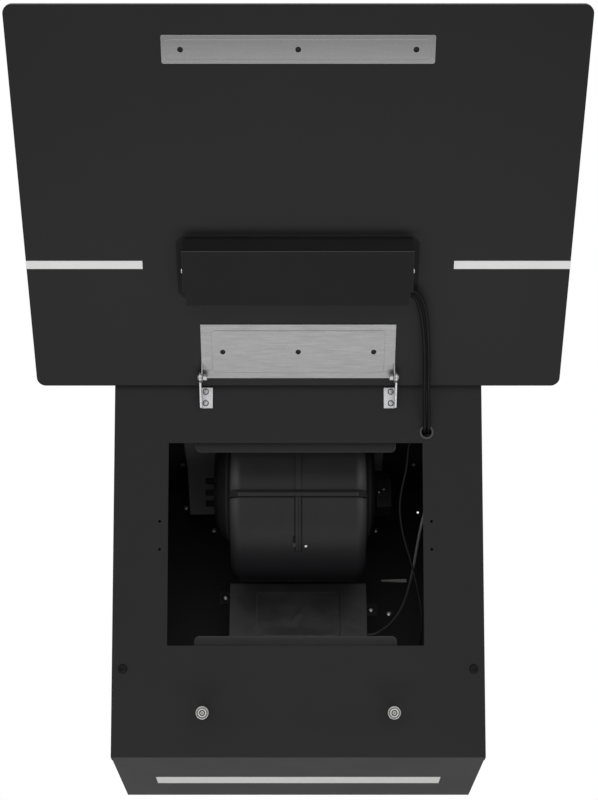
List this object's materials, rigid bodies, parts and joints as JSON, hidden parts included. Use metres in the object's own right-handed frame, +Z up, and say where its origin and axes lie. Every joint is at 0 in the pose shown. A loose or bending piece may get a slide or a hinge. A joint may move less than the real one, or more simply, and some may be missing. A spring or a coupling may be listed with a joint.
{
  "type": "angled range hood",
  "caption": "Wall-mounted angled range hood with a black glass front swung open upwards, filter opening, blower, lamp and outlet collar.",
  "frame": {"origin": "centre of the four wall fixing holes, on the wall face of the back panel", "axes": "+X to the right seen from the room, +Y into the wall, +Z up"},
  "size_m": [0.5952, 0.7084, 0.6311],
  "materials": {
    "black_paint": "satin black powder coat",
    "black_screw": "black oxide",
    "zinc_steel": "zinc plated",
    "magnet": "plain",
    "dark_metal": "black",
    "black_plastic": "moulded",
    "black_rubber": "matte",
    "pale_plastic": "frosted",
    "pale_trim": "satin",
    "aluminium": "extruded",
    "board": "printed board",
    "black_glass": "back-painted black"
  },
  "bodies": {
    "casing": {"back_panel": "black_paint", "back_screws": "zinc_steel", "blower_lower_housing": "black_plastic", "blower_mount": "black_paint", "blower_upper_housing": "black_plastic", "bracket_screws": "zinc_steel", "cable_grommet": "black_rubber", "cable_strap": "pale_plastic", "catch_magnets": "magnet", "catch_posts": "zinc_steel", "collar_screws": "zinc_steel", "damper_pin": "zinc_steel", "electronics_lid": "black_plastic", "electronics_tray": "black_plastic", "fascia_screws": "black_screw", "friction_washers": "zinc_steel", "front_fascia": "black_paint", "housing_clips": "zinc_steel", "housing_screw": "zinc_steel", "lamp_board": "board", "lamp_channel": "aluminium", "lamp_diffuser": "pale_plastic", "lamp_lead": "black_rubber", "left_hinge_bracket": "zinc_steel", "left_inlet_bell": "black_plastic", "left_panel_cable": "black_rubber", "left_side_panel": "black_paint", "lower_filter_ledge": "black_paint", "lug_screws": "zinc_steel", "motor": "dark_metal", "motor_bracket": "dark_metal", "outlet_collar": "black_plastic", "pivot_bolts": "zinc_steel", "pivot_nuts": "zinc_steel", "power_board": "board", "power_lead": "black_rubber", "right_hinge_bracket": "zinc_steel", "right_inlet_bell": "black_plastic", "right_panel_cable": "black_rubber", "right_side_panel": "black_paint", "run_capacitor": "black_plastic", "terminal_block": "black_plastic", "terminal_pins": "zinc_steel", "top_panel": "black_paint", "top_screws": "zinc_steel", "underside_panel": "black_paint", "upper_filter_ledge": "black_paint"},
    "glass_front": {"glass_panel": "black_glass", "left_trim_strip": "pale_trim", "right_trim_strip": "pale_trim", "strike_plate": "zinc_steel", "hinge_plate": "zinc_steel", "control_tray": "black_paint", "control_cover": "black_paint", "cover_screws": "zinc_steel", "control_board": "board"},
    "fan": {"fan_wheel": "black_plastic", "motor_shaft": "zinc_steel"},
    "front_flap": {"front_damper_flap": "black_plastic"},
    "rear_flap": {"rear_damper_flap": "black_plastic"}
  },
  "joints": [
    {"name": "glass_front_hinge", "type": "hinge", "parent": "casing", "child": "glass_front", "pos_m": [0, -0.3652, 0.12633], "axis": [1, 0, 0], "range_deg": [0, 145.56], "deforming": ["left_panel_cable", "right_panel_cable"]},
    {"name": "fan_spin", "type": "hinge", "parent": "casing", "child": "fan", "pos_m": [0, -0.178, 0.074], "axis": [1, 0, 0], "continuous": true},
    {"name": "front_flap_hinge", "type": "hinge", "parent": "casing", "child": "front_flap", "pos_m": [0, -0.178, 0.167], "axis": [-1, 0, 0], "range_deg": [0, 80]},
    {"name": "rear_flap_hinge", "type": "hinge", "parent": "casing", "child": "rear_flap", "pos_m": [0, -0.178, 0.167], "axis": [1, 0, 0], "range_deg": [0, 80]}
  ]
}
